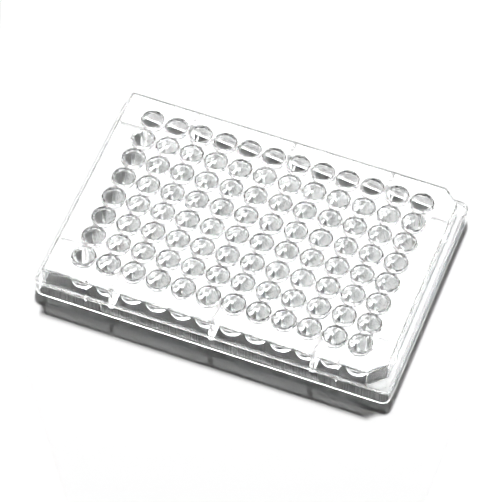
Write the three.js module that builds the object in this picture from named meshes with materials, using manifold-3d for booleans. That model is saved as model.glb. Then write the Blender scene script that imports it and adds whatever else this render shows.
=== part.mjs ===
// A clear 96-well flat-bottomed plate, moulded in one piece: a skirt with a ledge carries a
// raised deck, and the wells hang from the deck, each with a collar round its mouth.
// The origin is the centre of the footprint on the table. +X runs along the long rows towards
// the two cut corners, +Y to the back row and +Z up. Lengths are in millimetres.
import * as THREE from "three";
import { mergeVertices } from "three/addons/utils/BufferGeometryUtils.js";
import Module from "manifold-3d";

const wasm = await Module();
wasm.setup();

// Footprint and heights
const PLATE_LENGTH = 127.76;
const PLATE_WIDTH = 85.48;
const PLATE_HEIGHT = 14.35; // table to well rims
const SKIRT_HEIGHT = 6.1;
const SKIRT_CORNER_RADIUS = 3;
const SKIRT_WALL = 1.3;

// Deck and the wall that carries it
const END_LEDGE = 2.8; // ledge between skirt face and deck wall at the short sides
const SIDE_LEDGE = 1.34; // the same at the long sides
const LEDGE_THICKNESS = 1.2;
const DECK_THICKNESS = 0.9;
const DECK_WALL = 0.8;
const DECK_CORNER_RADIUS = 0.8; // the two square corners, at -X
const CORNER_CUT = 5.8; // leg of the cut at the two +X corners

// Wells
const WELL_PITCH = 9;
const LEAST_BORDER = 5; // flat deck kept between its edge and the nearest collar
const BORE_TOP_RADIUS = 3.43;
const BORE_FLOOR_RADIUS = 3.4;
const WELL_WALL = 0.92; // tube wall at the level of the mouth; the outside has no taper
const WELL_LIFT = 1.4; // gap between the table and the underside of a well
const WELL_FLOOR = 1.7;
const RIM_WIDTH = 0.55; // flat top of a collar
const COLLAR_HEIGHT = 1.1; // rim above the deck
const COLLAR_SPREAD = 0.42; // how far a collar widens down to the deck

// Ribs under the deck, from the deck wall in between two wells
const RIB_THICKNESS = 1.6;
const RIB_LIFT = 3.2; // gap between the table and the underside of a rib
const SIDE_RIB_PITCHES = 4; // well pitches from one rib to the next, along a long side
const SIDE_RIB_PAIRS = 1; // ribs each side of the middle one
const END_RIB_PITCHES = 3; // well pitches from the middle to each rib of a short side
const THIN_RIB_THICKNESS = 0.5;
const THIN_RIB_PITCHES = 5; // well pitches from the middle to each thin rib of a long side
const THIN_RIB_REACH = 2; // inwards from the middle of the deck wall

// Shallow panel in the face of the skirt, on both long sides
const PANEL_FOOT = 24.7; // plain skirt at each end of it
const PANEL_LIFT = 1.7;
const PANEL_DEPTH = 0.6;

// Facets of a round
const BORE_SIDES = 12;
const TUBE_SIDES = 8;
const CORNER_STEPS = 4;
const OVERRUN = 1; // how far a cutter passes the surface that it opens

const deckLength = PLATE_LENGTH - 2 * END_LEDGE;
const deckWidth = PLATE_WIDTH - 2 * SIDE_LEDGE;
const deckTop = PLATE_HEIGHT - COLLAR_HEIGHT;
const deckUnderside = deckTop - DECK_THICKNESS;
const collarRadius = BORE_TOP_RADIUS + RIM_WIDTH + COLLAR_SPREAD;
const columns = wellsThatFit(deckLength);
const rows = wellsThatFit(deckWidth);

// The most wells that fit in a side of the deck with the least border at both ends.
function wellsThatFit(side) {
  return 1 + Math.floor((side - 2 * LEAST_BORDER - 2 * collarRadius) / WELL_PITCH);
}

// A closed solid from a three.js geometry.
function solidOf(geometry) {
  const bare = geometry.index ? geometry.toNonIndexed() : geometry.clone();
  bare.deleteAttribute("normal");
  bare.deleteAttribute("uv");
  const merged = mergeVertices(bare, 1e-4);
  const mesh = new wasm.Mesh({
    numProp: 3,
    vertProperties: merged.attributes.position.array,
    triVerts: new Uint32Array(merged.index.array),
  });
  return new wasm.Manifold(mesh);
}

// The geometry of a solid, flat shaded.
function geometryOf(solid) {
  const mesh = solid.getMesh();
  const geometry = new THREE.BufferGeometry();
  geometry.setAttribute("position", new THREE.BufferAttribute(mesh.vertProperties, 3));
  geometry.setIndex(new THREE.BufferAttribute(mesh.triVerts, 1));
  const flat = geometry.toNonIndexed();
  flat.computeVertexNormals();
  return flat;
}

// An outline extruded from one height to another.
function prism(shape, low, high) {
  const options = { depth: high - low, bevelEnabled: false, curveSegments: CORNER_STEPS };
  const geometry = new THREE.ExtrudeGeometry(shape, options);
  geometry.translate(0, 0, low);
  return solidOf(geometry);
}

// A box between two opposite corners.
function block(low, high) {
  const geometry = new THREE.BoxGeometry(high[0] - low[0], high[1] - low[1], high[2] - low[2]);
  geometry.translate((low[0] + high[0]) / 2, (low[1] + high[1]) / 2, (low[2] + high[2]) / 2);
  return solidOf(geometry);
}

// A rectangle with rounded corners, set in from the skirt's face.
function skirtOutline(inset) {
  const x = PLATE_LENGTH / 2 - inset;
  const y = PLATE_WIDTH / 2 - inset;
  const radius = Math.max(SKIRT_CORNER_RADIUS - inset, SKIRT_CORNER_RADIUS / 3);
  const shape = new THREE.Shape();
  shape.absarc(x - radius, y - radius, radius, 0, Math.PI / 2);
  shape.absarc(radius - x, y - radius, radius, Math.PI / 2, Math.PI);
  shape.absarc(radius - x, radius - y, radius, Math.PI, 1.5 * Math.PI);
  shape.absarc(x - radius, radius - y, radius, 1.5 * Math.PI, 2 * Math.PI);
  return shape;
}

// The deck: rounded corners at -X and cut corners at +X, set in from the deck wall's face.
function deckOutline(inset) {
  const x = deckLength / 2 - inset;
  const y = deckWidth / 2 - inset;
  const radius = DECK_CORNER_RADIUS;
  const cut = CORNER_CUT - inset * (2 - Math.SQRT2);
  const shape = new THREE.Shape();
  shape.moveTo(x, cut - y);
  shape.lineTo(x, y - cut);
  shape.lineTo(x - cut, y);
  shape.absarc(radius - x, y - radius, radius, Math.PI / 2, Math.PI);
  shape.absarc(radius - x, radius - y, radius, Math.PI, 1.5 * Math.PI);
  shape.lineTo(x - cut, -y);
  return shape;
}

// A profile of [radius, height] pairs turned about Z. Its corners stand out so far that each
// ring has the area of the true circle, and its flats face the neighbouring wells.
function turned(profile, sides) {
  const corner = Math.sqrt((2 * Math.PI) / (sides * Math.sin((2 * Math.PI) / sides)));
  const points = profile.map(([radius, height]) => new THREE.Vector2(radius * corner, height));
  const geometry = new THREE.LatheGeometry(points, sides, Math.PI / sides);
  geometry.rotateX(Math.PI / 2);
  return solidOf(geometry);
}

// The outside of a well, from its underside through the deck to its rim.
function wellTube() {
  const buried = DECK_THICKNESS / 4;
  const slope = COLLAR_SPREAD / COLLAR_HEIGHT;
  return turned(
    [
      [0, WELL_LIFT],
      [BORE_TOP_RADIUS + WELL_WALL, WELL_LIFT],
      [BORE_TOP_RADIUS + WELL_WALL, deckUnderside + buried],
      [collarRadius + buried * slope, deckTop - buried],
      [BORE_TOP_RADIUS + RIM_WIDTH, PLATE_HEIGHT],
      [0, PLATE_HEIGHT],
    ],
    TUBE_SIDES,
  );
}

// The space in a well, run out past its mouth on the same taper.
function wellBore() {
  const floor = WELL_LIFT + WELL_FLOOR;
  const taper = (BORE_TOP_RADIUS - BORE_FLOOR_RADIUS) / (PLATE_HEIGHT - floor);
  return turned(
    [
      [0, floor],
      [BORE_FLOOR_RADIUS, floor],
      [BORE_TOP_RADIUS + taper * OVERRUN, PLATE_HEIGHT + OVERRUN],
      [0, PLATE_HEIGHT + OVERRUN],
    ],
    BORE_SIDES,
  );
}

// Copies of a solid at every well.
function atEveryWell(solid) {
  const copies = [];
  for (let column = 0; column < columns; column += 1) {
    for (let row = 0; row < rows; row += 1) {
      const x = (column - (columns - 1) / 2) * WELL_PITCH;
      const y = ((rows - 1) / 2 - row) * WELL_PITCH;
      copies.push(solid.translate([x, y, 0]));
    }
  }
  return copies;
}

// Ribs that run from the deck wall to the middle of the outer wells, on all four sides.
function ribs() {
  const half = RIB_THICKNESS / 2;
  const thinHalf = THIN_RIB_THICKNESS / 2;
  const wallX = (deckLength - DECK_WALL) / 2;
  const wallY = (deckWidth - DECK_WALL) / 2;
  const wellX = ((columns - 1) / 2) * WELL_PITCH;
  const wellY = ((rows - 1) / 2) * WELL_PITCH;
  const top = deckTop - DECK_THICKNESS / 2;
  const made = [];
  for (const side of [-1, 1]) {
    const reach = [side * wellY, side * wallY].sort((a, b) => a - b);
    for (let k = -SIDE_RIB_PAIRS; k <= SIDE_RIB_PAIRS; k += 1) {
      const x = k * SIDE_RIB_PITCHES * WELL_PITCH;
      made.push(block([x - half, reach[0], RIB_LIFT], [x + half, reach[1], top]));
    }
    const ys = [side * (wallY - THIN_RIB_REACH), side * wallY].sort((a, b) => a - b);
    for (const x of [-THIN_RIB_PITCHES * WELL_PITCH, THIN_RIB_PITCHES * WELL_PITCH]) {
      made.push(block([x - thinHalf, ys[0], RIB_LIFT], [x + thinHalf, ys[1], top]));
    }
    for (const end of [-1, 1]) {
      const y = side * END_RIB_PITCHES * WELL_PITCH;
      const ends = [end * wellX, end * wallX].sort((a, b) => a - b);
      made.push(block([ends[0], y - half, RIB_LIFT], [ends[1], y + half, top]));
    }
  }
  return made;
}

// Cutters for the panels in the long faces of the skirt.
function panels() {
  const x = PLATE_LENGTH / 2 - PANEL_FOOT;
  const face = PLATE_WIDTH / 2;
  const floor = face - PANEL_DEPTH;
  const top = SKIRT_HEIGHT + OVERRUN;
  return [
    block([-x, -face - OVERRUN, PANEL_LIFT], [x, -floor, top]),
    block([-x, floor, PANEL_LIFT], [x, face + OVERRUN, top]),
  ];
}

function wellPlate() {
  const join = (solids) => solids.reduce((whole, solid) => whole.add(solid));
  const skirt = prism(skirtOutline(0), 0, SKIRT_HEIGHT).subtract(join(panels()));
  const raised = prism(deckOutline(0), SKIRT_HEIGHT - LEDGE_THICKNESS, deckTop);
  const skirtHollow = prism(skirtOutline(SKIRT_WALL), -OVERRUN, SKIRT_HEIGHT - LEDGE_THICKNESS);
  const deckHollow = prism(deckOutline(DECK_WALL), -OVERRUN, deckUnderside);
  const shell = skirt.add(raised).subtract(skirtHollow).subtract(deckHollow);
  const filled = join([shell, ...ribs(), ...atEveryWell(wellTube())]);
  return filled.subtract(join(atEveryWell(wellBore())));
}

const clearPlastic = new THREE.MeshStandardMaterial({
  name: "clear_polystyrene",
  color: 0xeef1f2,
  roughness: 0.06,
  metalness: 0,
  transparent: true,
  opacity: 0.3,
});

const plate = new THREE.Mesh(geometryOf(wellPlate()), clearPlastic);
plate.name = "well_plate";

const model = new THREE.Group();
model.name = "well_plate_model";
model.add(plate);

export default model;
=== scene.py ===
"""A clear 96-well plate standing on a pale studio floor.

Lengths are in metres in the plate's own frame: the origin is the centre of the footprint on the
floor, +X runs along the rows of twelve towards the two cut deck corners, and +Z is up.
"""

from math import atan, atan2, cos, pi, radians, sin, sqrt, tan

import bmesh
import bpy
from mathutils import Matrix, Vector

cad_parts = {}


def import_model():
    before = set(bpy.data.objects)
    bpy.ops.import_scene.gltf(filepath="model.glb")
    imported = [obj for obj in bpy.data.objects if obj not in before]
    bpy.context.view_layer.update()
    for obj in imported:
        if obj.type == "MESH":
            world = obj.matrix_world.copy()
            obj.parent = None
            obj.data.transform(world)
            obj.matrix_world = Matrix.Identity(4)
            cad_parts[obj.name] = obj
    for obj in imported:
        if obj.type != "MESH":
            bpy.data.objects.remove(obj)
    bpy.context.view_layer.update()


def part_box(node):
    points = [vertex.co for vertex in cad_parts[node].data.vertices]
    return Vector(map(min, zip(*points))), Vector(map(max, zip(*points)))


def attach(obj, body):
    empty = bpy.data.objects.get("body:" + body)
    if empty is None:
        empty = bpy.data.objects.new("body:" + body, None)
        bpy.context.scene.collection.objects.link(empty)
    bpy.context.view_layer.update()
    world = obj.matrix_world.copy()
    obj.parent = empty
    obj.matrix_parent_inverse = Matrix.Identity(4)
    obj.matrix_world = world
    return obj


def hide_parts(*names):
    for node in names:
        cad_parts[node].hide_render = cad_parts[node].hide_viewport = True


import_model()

MM = 0.001
SAME_PLACE = 1e-7  # points closer than this are one
JOIN_WITHIN = 2e-6  # and this much where pieces of the mesh meet
ON_EDGE = 1e-6
DECIMALS = 8  # of a place that is looked up

# ---------------------------------------------------------------------------------------------
# Sizes

low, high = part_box("well_plate")
HALF_LENGTH = high.x
HALF_WIDTH = high.y
RIM_TOP = high.z

SKIRT_TOP = 6.1 * MM
SKIRT_WALL = 1.3 * MM
SKIRT_CORNER = 3.0 * MM
LEAST_SKIRT_CORNER = 0.8 * MM
SKIRT_TOP_ROUND = 0.4 * MM
SKIRT_FOOT_ROUND = 0.15 * MM

END_LEDGE = 2.8 * MM
SIDE_LEDGE = 1.34 * MM
LEDGE_THICKNESS = 1.2 * MM
LEDGE_FILLET = 0.3 * MM

COLLAR_HEIGHT = 1.1 * MM
DECK_TOP = RIM_TOP - COLLAR_HEIGHT
DECK_THICKNESS = 0.9 * MM
DECK_UNDER = DECK_TOP - DECK_THICKNESS
DECK_WALL = 0.8 * MM
DECK_EDGE_ROUND = 0.9 * MM
DECK_INNER_FILLET = 0.2 * MM
DECK_CORNER = 0.8 * MM
CORNER_CUT = 5.8 * MM

PITCH = 9.0 * MM
COLUMNS = 12
ROWS = 8
MOUTH_RADIUS = 3.43 * MM
FLOOR_RADIUS = 3.4 * MM
RIM_WIDTH = 0.55 * MM
COLLAR_SPREAD = 0.42 * MM
COLLAR_FILLET = 0.1 * MM
TUBE_RADIUS = 4.35 * MM
WELL_UNDER = 1.4 * MM
WELL_FLOOR = 3.1 * MM
RIM_ROUND = 0.45 * MM
MOUTH_ROUND = 0.04 * MM
FLOOR_FILLET = 0.3 * MM
TUBE_EDGE = 0.1 * MM

ROUND_STEPS = 40  # facets of a well
GRID_HALF_X = COLUMNS * PITCH / 2
GRID_HALF_Y = ROWS * PITCH / 2


# ---------------------------------------------------------------------------------------------
# Profiles

def arc(centre, radius, start, end, steps):
    """Points on an arc in the (radius, height) plane, both ends included. Angles in degrees."""
    points = []
    for k in range(steps + 1):
        angle = radians(start + (end - start) * k / steps)
        points.append((centre[0] + radius * cos(angle), centre[1] + radius * sin(angle)))
    return points


def well_inside():
    """From the deck over the collar and the rim, down the bore to the middle of the floor."""
    rim_outer = MOUTH_RADIUS + RIM_WIDTH
    slope = atan2(COLLAR_HEIGHT, COLLAR_SPREAD) * 180 / pi
    lean = (90 - slope) / 2
    f, r, m = COLLAR_FILLET, RIM_ROUND, MOUTH_ROUND
    bend = tan(radians(45 - lean))
    points = arc((rim_outer + COLLAR_SPREAD + f * bend, DECK_TOP + f), f, 270, 270 - slope, 2)
    points += arc((rim_outer - r * bend, RIM_TOP - r), r, 90 - slope, 90, 3)
    points += arc((MOUTH_RADIUS + m, RIM_TOP - m), m, 90, 180, 1)
    f = FLOOR_FILLET
    points += arc((FLOOR_RADIUS - f, WELL_FLOOR + f), f, 0, -90, 3)
    points.append((0, WELL_FLOOR))
    return points


def well_outside():
    """From the underside of the deck down the tube to the middle of its underside."""
    f = TUBE_EDGE
    points = arc((TUBE_RADIUS + f, DECK_UNDER - f), f, 90, 180, 1)
    points += arc((TUBE_RADIUS - f, WELL_UNDER + f), f, 0, -90, 2)
    points.append((0, WELL_UNDER))
    return points


# ---------------------------------------------------------------------------------------------
# The wells and the deck between them

def spun(bm, profile):
    """A profile turned a full circle about Z."""
    verts = [bm.verts.new((radius, 0, height)) for radius, height in profile]
    edges = [bm.edges.new(pair) for pair in zip(verts, verts[1:])]
    bmesh.ops.spin(
        bm, geom=verts + edges, cent=(0, 0, 0), axis=(0, 0, 1), angle=2 * pi,
        steps=ROUND_STEPS, use_merge=True,
    )
    bmesh.ops.remove_doubles(bm, verts=bm.verts, dist=SAME_PLACE)


def square_off(bm, height):
    """The free round edge at a height runs out to the square cell that the well stands in."""
    rim = [e for e in bm.edges if e.is_boundary and abs(e.verts[0].co.z - height) < SAME_PLACE]
    grown = bmesh.ops.extrude_edge_only(bm, edges=rim)
    for vert in (g for g in grown["geom"] if isinstance(g, bmesh.types.BMVert)):
        vert.co *= PITCH / 2 / max(abs(vert.co.x), abs(vert.co.y))
        vert.co.z = height


def well_cell():
    """One well and its square of deck, open along the four sides of the square."""
    mesh = bpy.data.meshes.new("cell")
    bm = bmesh.new()
    spun(bm, well_inside())
    square_off(bm, DECK_TOP)
    part = bmesh.new()
    spun(part, well_outside())
    square_off(part, DECK_UNDER)
    part.to_mesh(mesh)
    part.free()
    bm.from_mesh(mesh)
    bm.to_mesh(mesh)
    bm.free()
    return mesh


def wells(bm):
    """All the cells, welded along their sides."""
    cell = well_cell()
    for column in range(COLUMNS):
        for row in range(ROWS):
            x = (column - (COLUMNS - 1) / 2) * PITCH
            y = ((ROWS - 1) / 2 - row) * PITCH
            cell.transform(Matrix.Translation((x, y, 0)))
            bm.from_mesh(cell)
            cell.transform(Matrix.Translation((-x, -y, 0)))
    bpy.data.meshes.remove(cell)
    bmesh.ops.remove_doubles(bm, verts=bm.verts, dist=JOIN_WITHIN)


# ---------------------------------------------------------------------------------------------
# The deck's border, its wall, the ledge and the skirt

def corner_point(x, y, leg, turn, is_cut):
    """A point of a corner whose legs end at (x - leg, y) and (x, y - leg). Turn goes 0 to 1."""
    if is_cut:
        return x - leg + leg * turn, y - leg * turn
    angle = pi / 2 * (1 - turn)
    return x - leg + leg * cos(angle), y - leg + leg * sin(angle)


def stretched(value, last_well, straight_end):
    """Along a side, places stay under the wells and only the last half pitch is stretched."""
    kept = last_well - PITCH / 2
    if value <= kept:
        return value
    return kept + (straight_end - kept) * (value - kept) / (last_well - kept)


def outline(start, half_x, half_y, leg, is_cut):
    """Where a point of the well grid's edge comes to lie on a rectangle with worked corners."""
    well_x = GRID_HALF_X - PITCH / 2
    well_y = GRID_HALF_Y - PITCH / 2
    across_x, across_y = abs(start.x), abs(start.y)
    over_x = (across_x - well_x) / (PITCH / 2)
    over_y = (across_y - well_y) / (PITCH / 2)
    if over_x > 0 and over_y > 0:
        turn = atan(min(over_x, 1)) / (pi / 2)
        if over_y < over_x:
            turn = 1 - atan(over_y) / (pi / 2)
        x, y = corner_point(half_x, half_y, leg, turn, is_cut)
    elif across_y >= GRID_HALF_Y - ON_EDGE:
        x, y = stretched(across_x, well_x, half_x - leg), half_y
    else:
        x, y = half_x, stretched(across_y, well_y, half_y - leg)
    return (x if start.x >= 0 else -x), (y if start.y >= 0 else -y)


def deck_ring(start, inset):
    """A place on the deck's outline, with its two cut corners at +X, at an inset from the wall."""
    half_x = HALF_LENGTH - END_LEDGE - inset
    half_y = HALF_WIDTH - SIDE_LEDGE - inset
    if start.x > 0:
        return outline(start, half_x, half_y, CORNER_CUT - inset * (2 - sqrt(2)), True)
    return outline(start, half_x, half_y, DECK_CORNER, False)


def skirt_ring(start, inset):
    """A place on the skirt's outline, at an inset from its outside."""
    leg = max(SKIRT_CORNER - inset, LEAST_SKIRT_CORNER)
    return outline(start, HALF_LENGTH - inset, HALF_WIDTH - inset, leg, False)


def shell_rings():
    """(ring, inset, height) from the deck's flat top round the outside to its underside."""
    rings = []

    def add(kind, points):
        rings.extend((kind, inset, height) for inset, height in points)

    r = DECK_EDGE_ROUND
    add(deck_ring, [(r * (1 - sin(a)), DECK_TOP - r * (1 - cos(a))) for a in quarter(6)])
    f = LEDGE_FILLET
    add(deck_ring, [(f * (cos(a) - 1), SKIRT_TOP + f * (1 - sin(a))) for a in quarter(3)])
    r = SKIRT_TOP_ROUND
    add(skirt_ring, [(r * (1 - sin(a)), SKIRT_TOP - r * (1 - cos(a))) for a in quarter(4)])
    r = SKIRT_FOOT_ROUND
    add(skirt_ring, [(r * (1 - cos(a)), r * (1 - sin(a))) for a in quarter(2)])
    inner = SKIRT_WALL
    add(skirt_ring, [(inner - r * (1 - sin(a)), r * (1 - cos(a))) for a in quarter(2)])
    under = SKIRT_TOP - LEDGE_THICKNESS
    add(skirt_ring, [(inner + f * (1 - cos(a)), under - f * (1 - sin(a))) for a in quarter(2)])
    wall = DECK_WALL
    add(deck_ring, [(wall - f * (1 - sin(a)), under + f * (1 - cos(a))) for a in quarter(2)])
    f = DECK_INNER_FILLET
    add(deck_ring, [(wall + f * (1 - cos(a)), DECK_UNDER - f * (1 - sin(a))) for a in quarter(3)])
    return rings


def quarter(count):
    """The angles of a quarter turn in a number of steps, both ends included."""
    return [radians(90 * k / count) for k in range(count + 1)]


def shell(bm):
    """Grows the free edge of the deck's top ring by ring, and closes it on the underside's."""
    middle = (DECK_TOP + DECK_UNDER) / 2
    edges = [e for e in bm.edges if e.is_boundary and e.verts[0].co.z > middle]
    starts = {v: v.co.copy() for e in edges for v in e.verts}
    for kind, inset, height in shell_rings():
        old = {v.co.to_tuple(DECIMALS): starts[v] for v in starts}
        grown = bmesh.ops.extrude_edge_only(bm, edges=edges)
        verts = [g for g in grown["geom"] if isinstance(g, bmesh.types.BMVert)]
        edges = [g for g in grown["geom"] if isinstance(g, bmesh.types.BMEdge)]
        edges = [e for e in edges if e.is_boundary]
        starts = {v: old[v.co.to_tuple(DECIMALS)] for v in verts}
        for vert, start in starts.items():
            vert.co.x, vert.co.y = kind(start, inset)
            vert.co.z = height
    grown = bmesh.ops.extrude_edge_only(bm, edges=edges)
    old = {v.co.to_tuple(DECIMALS): starts[v] for v in starts}
    for vert in (g for g in grown["geom"] if isinstance(g, bmesh.types.BMVert)):
        start = old[vert.co.to_tuple(DECIMALS)]
        vert.co = (start.x, start.y, DECK_UNDER)
    bmesh.ops.remove_doubles(bm, verts=bm.verts, dist=JOIN_WITHIN)
    bmesh.ops.recalc_face_normals(bm, faces=bm.faces)


# ---------------------------------------------------------------------------------------------
# Ribs, panels and moulding marks, joined to or cut from the body

def object_from(bm, name):
    mesh = bpy.data.meshes.new(name)
    bm.to_mesh(mesh)
    bm.free()
    piece = bpy.data.objects.new(name, mesh)
    bpy.context.scene.collection.objects.link(piece)
    return piece


def box_piece(low, high, round_off=0.0):
    """A box between two corners, its edges rounded."""
    bm = bmesh.new()
    size = Vector(high) - Vector(low)
    bmesh.ops.create_cube(bm, size=1)
    bmesh.ops.scale(bm, vec=size, verts=bm.verts)
    bmesh.ops.translate(bm, vec=(Vector(low) + Vector(high)) / 2, verts=bm.verts)
    if round_off:
        bmesh.ops.bevel(
            bm, geom=bm.edges, offset=round_off, affect="EDGES", segments=2, profile=0.5,
            material=-1,
        )
    return bm


def combine(piece, tool, operation):
    """Joins a tool object to the piece, or cuts it out, and drops the tool."""
    modifier = piece.modifiers.new("combine", "BOOLEAN")
    modifier.object = tool
    modifier.operation = operation
    modifier.solver = "MANIFOLD"
    graph = bpy.context.evaluated_depsgraph_get()
    made = bpy.data.meshes.new_from_object(piece.evaluated_get(graph))
    piece.modifiers.clear()
    piece.data = made
    bpy.data.objects.remove(tool)


def merged(parts):
    """Several bmeshes that don't touch, as one."""
    whole = bmesh.new()
    for part in parts:
        mesh = bpy.data.meshes.new("part")
        part.to_mesh(mesh)
        part.free()
        whole.from_mesh(mesh)
        bpy.data.meshes.remove(mesh)
    return whole


RIB_THICKNESS = 1.6 * MM
RIB_UNDER = 3.2 * MM
SIDE_RIBS = (-4, 0, 4)  # in well pitches from the middle
END_RIBS = (-3, 3)
THIN_RIBS = (-5, 5)
THIN_RIB_THICKNESS = 0.5 * MM
THIN_RIB_REACH = 2.0 * MM

PANEL_FOOT = 24.7 * MM
PANEL_LIFT = 1.7 * MM
PANEL_DEPTH = 0.6 * MM
PANEL_ROUND = 0.05 * MM
OVERRUN = 1.0 * MM

MARK_RADIUS = 0.7 * MM
MARK_PROUD = 0.25 * MM
MARK_PLACES = (-9.4 * MM, 9.4 * MM)
MARK_HEIGHT = 3.6 * MM
MARK_SIDES = 20
SMOOTH_BELOW = 35  # degrees between faces


def rib_tools():
    """Ribs from the deck wall to the outer wells, and thin ones that stop short of them."""
    wall_y = HALF_WIDTH - SIDE_LEDGE - DECK_WALL / 2
    wall_x = HALF_LENGTH - END_LEDGE - DECK_WALL / 2
    top = (DECK_TOP + DECK_UNDER) / 2
    near_y = GRID_HALF_Y - PITCH / 2
    near_x = GRID_HALF_X - PITCH / 2
    half = RIB_THICKNESS / 2
    thin = THIN_RIB_THICKNESS / 2
    made = []
    for side in (-1, 1):
        ys = sorted((side * near_y, side * wall_y))
        for x in (PITCH * k for k in SIDE_RIBS):
            made.append(box_piece((x - half, ys[0], RIB_UNDER), (x + half, ys[1], top)))
        ys = sorted((side * (wall_y - THIN_RIB_REACH), side * wall_y))
        for x in (PITCH * k for k in THIN_RIBS):
            made.append(box_piece((x - thin, ys[0], RIB_UNDER), (x + thin, ys[1], top)))
        xs = sorted((side * near_x, side * wall_x))
        for y in (PITCH * k for k in END_RIBS):
            made.append(box_piece((xs[0], y - half, RIB_UNDER), (xs[1], y + half, top)))
    return merged(made)


def panel_tools():
    """Cutters for the shallow panels in the skirt's long faces."""
    half = HALF_LENGTH - PANEL_FOOT
    top = SKIRT_TOP + OVERRUN
    made = []
    for side in (-1, 1):
        ys = sorted((side * (HALF_WIDTH - PANEL_DEPTH), side * (HALF_WIDTH + OVERRUN)))
        made.append(box_piece((-half, ys[0], PANEL_LIFT), (half, ys[1], top), PANEL_ROUND))
    return merged(made)


def mark_tools():
    """Round pads left by the ejector pins, low on the inside of the skirt's long walls."""
    made = []
    for side in (-1, 1):
        for x in MARK_PLACES:
            bm = bmesh.new()
            bmesh.ops.create_cone(
                bm, cap_ends=True, segments=MARK_SIDES, radius1=MARK_RADIUS,
                radius2=MARK_RADIUS, depth=2 * MARK_PROUD,
                matrix=Matrix.Rotation(pi / 2, 4, "X"),
            )
            y = side * (HALF_WIDTH - SKIRT_WALL)
            bmesh.ops.translate(bm, vec=(x, y, MARK_HEIGHT), verts=bm.verts)
            made.append(bm)
    return merged(made)


def well_plate():
    """The whole moulding, one closed body."""
    bm = bmesh.new()
    wells(bm)
    shell(bm)
    piece = object_from(bm, "clear_plate")
    combine(piece, object_from(rib_tools(), "ribs"), "UNION")
    combine(piece, object_from(mark_tools(), "marks"), "UNION")
    combine(piece, object_from(panel_tools(), "panels"), "DIFFERENCE")
    for polygon in piece.data.polygons:
        polygon.use_smooth = True
    piece.data.set_sharp_from_angle(angle=radians(SMOOTH_BELOW))
    weigh = piece.modifiers.new("even_flats", "WEIGHTED_NORMAL")
    weigh.keep_sharp = True
    return piece


# ---------------------------------------------------------------------------------------------
# Materials

PLASTIC_IOR = 1.59
POLISHED = 0.0
CLEAR = (0.965, 0.97, 0.97, 1)
# painted shade: a darker colour laid along the skirt's upright moulding lines, standing in for the
# shade that refraction in those lines shows
PAINTED_LINE_SHADE = (0.4, 0.41, 0.41, 1)
LINE_SPACING = 0.42 * MM
LINE_START, LINE_FULL = 0.3, 0.7  # values of the noise where a line starts and is whole
SKIRT_FACE = 0.8 * MM  # how far in from the skirt's outside its lines reach
WALL_STREAKS = 9.0  # of the well walls, to a radian
STREAK_DEPTH = 0.03 * MM
WALL_INSIDE = FLOOR_RADIUS - 0.1 * MM  # the streaks lie between these two radii
WALL_OUTSIDE = TUBE_RADIUS + 0.01 * MM
FLOOR_COLOUR = (0.9, 0.9, 0.9, 1)
FLOOR_IOR = 1.35


def math_node(tree, operation, first, second=0.0):
    """A Math node whose inputs are sockets or plain numbers."""
    node = tree.nodes.new("ShaderNodeMath")
    node.operation = operation
    for socket, value in zip(node.inputs, (first, second)):
        if isinstance(value, bpy.types.NodeSocket):
            tree.links.new(value, socket)
        else:
            socket.default_value = value
    return node.outputs[0]


def lines_along(tree, place, scale):
    """Uneven lines, square to the direction that the place runs in."""
    noise = tree.nodes.new("ShaderNodeTexNoise")
    noise.noise_dimensions = "1D"
    noise.inputs["Scale"].default_value = scale
    noise.inputs["Detail"].default_value = 0.0
    tree.links.new(place, noise.inputs["W"])
    return noise.outputs["Fac"]


def skirt_line_shade_mask(tree, x, y, z):
    """The upright moulding lines of the skirt's outside, as a mask for the shade painted along
    them.
    """
    far_x = math_node(tree, "GREATER_THAN", absolute(tree, x), HALF_LENGTH - SKIRT_FACE)
    far_y = math_node(tree, "GREATER_THAN", absolute(tree, y), HALF_WIDTH - SKIRT_FACE)
    below = math_node(tree, "LESS_THAN", z, SKIRT_TOP - 2 * SKIRT_TOP_ROUND)
    face = math_node(tree, "MULTIPLY", math_node(tree, "MAXIMUM", far_x, far_y), below)
    sharp = tree.nodes.new("ShaderNodeMapRange")
    sharp.inputs["From Min"].default_value = LINE_START
    sharp.inputs["From Max"].default_value = LINE_FULL
    noise = lines_along(tree, math_node(tree, "ADD", x, y), 1 / LINE_SPACING)
    tree.links.new(noise, sharp.inputs["Value"])
    return math_node(tree, "MULTIPLY", face, sharp.outputs["Result"])


def well_streaks(tree, x, y, z):
    """The height of the upright streaks in the well walls, below the deck."""
    from_middle = []
    for value in (x, y):
        local = math_node(tree, "WRAP", math_node(tree, "DIVIDE", value, PITCH), 1.0)
        local.node.inputs[2].default_value = 0.0
        from_middle.append(math_node(tree, "SUBTRACT", local, 0.5))
    turn = math_node(tree, "ARCTAN2", from_middle[1], from_middle[0])
    across, along = [math_node(tree, "POWER", value, 2.0) for value in from_middle]
    reach = math_node(tree, "SQRT", math_node(tree, "ADD", across, along))
    outside = math_node(tree, "GREATER_THAN", reach, WALL_INSIDE / PITCH)
    inside = math_node(tree, "LESS_THAN", reach, WALL_OUTSIDE / PITCH)
    lower = math_node(tree, "LESS_THAN", z, DECK_UNDER)
    wall = math_node(tree, "MULTIPLY", math_node(tree, "MULTIPLY", outside, inside), lower)
    return math_node(tree, "MULTIPLY", wall, lines_along(tree, turn, WALL_STREAKS))


def absolute(tree, value):
    return math_node(tree, "ABSOLUTE", value)


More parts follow.
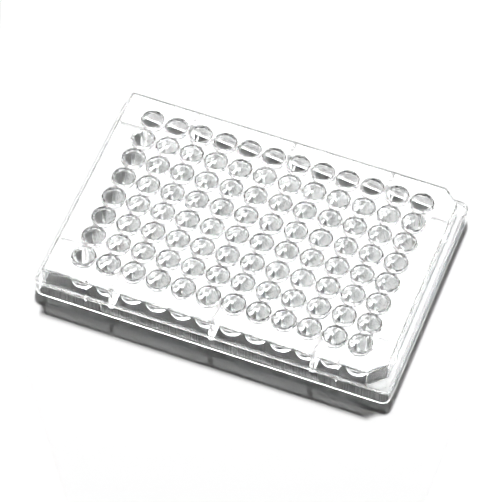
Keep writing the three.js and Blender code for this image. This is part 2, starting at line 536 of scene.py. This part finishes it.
def streak_heights_and_line_shade():
    """A group: the mask of the shade painted along the skirt's lines, and the height of the
    streaks in the wells.
    """
    tree = bpy.data.node_groups.new("streak_heights_and_line_shade", "ShaderNodeTree")
    for name in ("LineShade", "Height"):
        tree.interface.new_socket(name, in_out="OUTPUT", socket_type="NodeSocketFloat")
    coordinates = tree.nodes.new("ShaderNodeTexCoord")
    split = tree.nodes.new("ShaderNodeSeparateXYZ")
    tree.links.new(coordinates.outputs["Object"], split.inputs[0])
    output = tree.nodes.new("NodeGroupOutput")
    tree.links.new(skirt_line_shade_mask(tree, *split.outputs), output.inputs["LineShade"])
    tree.links.new(well_streaks(tree, *split.outputs), output.inputs["Height"])
    return tree


def clear_polystyrene():
    """Clear plastic, with shade painted along the skirt's lines, and streaked in the well walls.
    """
    material = bpy.data.materials.new("clear_polystyrene")
    material.use_nodes = True
    tree = material.node_tree
    surface = tree.nodes["Principled BSDF"]
    surface.inputs["IOR"].default_value = PLASTIC_IOR
    surface.inputs["Roughness"].default_value = POLISHED
    surface.inputs["Transmission Weight"].default_value = 1.0
    streaks = tree.nodes.new("ShaderNodeGroup")
    streaks.node_tree = streak_heights_and_line_shade()
    # painted shade: the base colour darkens from clear to the painted line shade along the skirt's
    # lines
    colour = tree.nodes.new("ShaderNodeMix")
    colour.data_type = "RGBA"
    colour.inputs["A"].default_value = CLEAR
    colour.inputs["B"].default_value = PAINTED_LINE_SHADE
    tree.links.new(streaks.outputs["LineShade"], colour.inputs["Factor"])
    tree.links.new(colour.outputs["Result"], surface.inputs["Base Color"])
    bump = tree.nodes.new("ShaderNodeBump")
    bump.inputs["Distance"].default_value = STREAK_DEPTH
    tree.links.new(streaks.outputs["Height"], bump.inputs["Height"])
    tree.links.new(bump.outputs["Normal"], surface.inputs["Normal"])
    return material


def floor_material():
    material = bpy.data.materials.new("floor")
    material.use_nodes = True
    surface = material.node_tree.nodes["Principled BSDF"]
    surface.inputs["Base Color"].default_value = FLOOR_COLOUR
    surface.inputs["Roughness"].default_value = POLISHED
    surface.inputs["IOR"].default_value = FLOOR_IOR
    return material


# ---------------------------------------------------------------------------------------------
# Stage

VIEW_AZIMUTH = 19.1647  # degrees, as are the elevation, the roll and the panels' turns
VIEW_ELEVATION = 53.6212
VIEW_ROLL = 1.7941
VIEW_DISTANCE = 1.1148
VIEW_TARGET = Vector((-0.00108, 0.00053, 0))
VIEW_LENS = 232.9
SENSOR_WIDTH = 36.0
CLIP_START = 0.01

KEY_DISTANCE = 3.0
KEY_SIZE = 0.3
KEY_RADIANCE = 350.0
STRIP_DISTANCE = 2.0
STRIP_TURNS = (-96, -72, -48, -24, 0, 24, 48, 72, 96)
BACK_TURNS = (120, 144, 168, 192, 216, 240)
STRIP_WIDTH = 0.495
STRIP_HEIGHT = 0.85
STRIP_RADIANCE = 10.0
CEILING_HEIGHT = 3.0
CEILING_SIZE = 1.2
CEILING_RADIANCE = 10.0
WORLD_STRENGTH = 0.02
FLOOR_SIZE = 4.0
FLOOR_GAP = 0.04 * MM
BOUNCES = 64


def view_directions():
    """The camera's forward, right and up, before its roll."""
    a, e = radians(VIEW_AZIMUTH), radians(VIEW_ELEVATION)
    forward = Vector((-sin(a) * cos(e), cos(a) * cos(e), -sin(e)))
    right = Vector((cos(a), sin(a), 0))
    return forward, right, right.cross(forward)


def camera():
    forward, right, up = view_directions()
    roll = radians(VIEW_ROLL)
    right, up = right * cos(roll) + up * sin(roll), up * cos(roll) - right * sin(roll)
    data = bpy.data.cameras.new("camera")
    data.lens = VIEW_LENS
    data.sensor_width = SENSOR_WIDTH
    data.clip_start = CLIP_START
    made = bpy.data.objects.new("camera", data)
    place = Matrix((right, up, -forward)).transposed().to_4x4()
    place.translation = VIEW_TARGET - forward * VIEW_DISTANCE
    made.matrix_world = place
    bpy.context.scene.collection.objects.link(made)
    bpy.context.scene.camera = made


def softbox(name, turn, distance, width, height, radiance):
    """A panel that faces the plate, as high as its level faces mirror it to the camera."""
    forward = view_directions()[0]
    towards = Vector((forward.x, forward.y, -forward.z))
    towards.rotate(Matrix.Rotation(radians(turn), 3, "Z"))
    data = bpy.data.lights.new(name, "AREA")
    data.shape = "RECTANGLE"
    data.size = width
    data.size_y = height
    data.energy = radiance * pi * width * height
    made = bpy.data.objects.new(name, data)
    made.location = towards * distance
    made.rotation_euler = (-towards).to_track_quat("-Z", "Y").to_euler()
    bpy.context.scene.collection.objects.link(made)
    return made


def strip_panel(name, turn):
    """A panel of the ring that the clear plastic mirrors. It throws no light on the floor."""
    panel = softbox(name, turn, STRIP_DISTANCE, STRIP_WIDTH, STRIP_HEIGHT, STRIP_RADIANCE)
    panel.visible_diffuse = False
    return panel


def lights():
    """The key lights the floor. The strip of panels is what the clear plastic mirrors.

    The back strip closes the ring, and with the ceiling it serves the views from other sides.
    """
    key = softbox("key", 0, KEY_DISTANCE, KEY_SIZE, KEY_SIZE, KEY_RADIANCE)
    key.visible_glossy = False
    key.visible_transmission = False
    for turn in STRIP_TURNS:
        strip_panel("strip", turn)
    for turn in BACK_TURNS:
        strip_panel("back_strip", turn).visible_transmission = False
    ceiling = softbox("ceiling", 0, CEILING_HEIGHT, CEILING_SIZE, CEILING_SIZE, CEILING_RADIANCE)
    ceiling.location = (0, 0, CEILING_HEIGHT)
    ceiling.rotation_euler = (0, 0, 0)
    ceiling.visible_diffuse = False
    ceiling.visible_transmission = False


def world():
    made = bpy.data.worlds.new("studio")
    made.use_nodes = True
    background = made.node_tree.nodes["Background"]
    background.inputs["Color"].default_value = (1, 1, 1, 1)
    background.inputs["Strength"].default_value = WORLD_STRENGTH
    bpy.context.scene.world = made


def floor():
    bm = bmesh.new()
    bmesh.ops.create_grid(bm, x_segments=1, y_segments=1, size=FLOOR_SIZE)
    bmesh.ops.translate(bm, vec=(0, 0, -FLOOR_GAP), verts=bm.verts)
    made = object_from(bm, "floor")
    made.data.materials.append(floor_material())


plate = well_plate()
plate.data.materials.clear()
plate.data.materials.append(clear_polystyrene())
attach(plate, "root")
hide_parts("well_plate")

camera()
lights()
world()
floor()
cycles = bpy.context.scene.cycles
cycles.caustics_refractive = False
cycles.caustics_reflective = False
cycles.max_bounces = BOUNCES
cycles.transmission_bounces = BOUNCES
cycles.glossy_bounces = BOUNCES
bpy.context.scene.view_settings.view_transform = "Standard"
